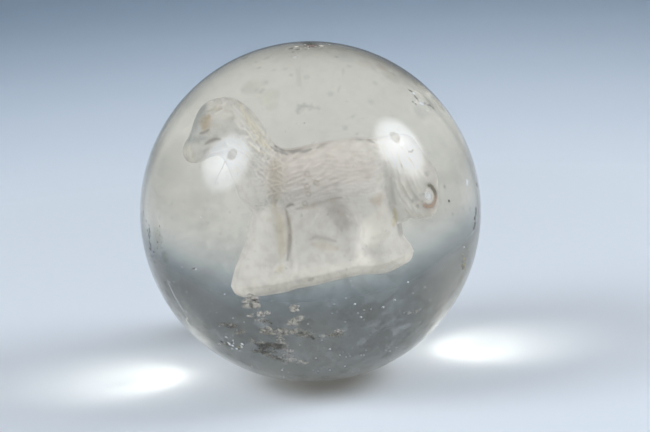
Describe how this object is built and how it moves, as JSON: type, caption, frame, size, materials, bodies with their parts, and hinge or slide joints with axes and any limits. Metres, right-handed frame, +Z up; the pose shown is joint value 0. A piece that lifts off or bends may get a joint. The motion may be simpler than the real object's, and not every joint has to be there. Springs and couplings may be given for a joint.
{
  "type": "glass marble",
  "caption": "Clear glass marble with a small standing clay animal on a plinth sealed inside, for play, collecting or display.",
  "frame": {"origin": "centre of the glass ball, with the ball resting on a level table", "axes": "+Z up from the table, -X towards the animal's head, -Y towards the side that is looked at"},
  "size_m": [0.038, 0.038, 0.038],
  "materials": {
    "clear_glass": "gloss",
    "white_clay": "satin"
  },
  "bodies": {
    "root": {"glass_ball": "clear_glass", "clay_animal": "white_clay"}
  },
  "joints": []
}
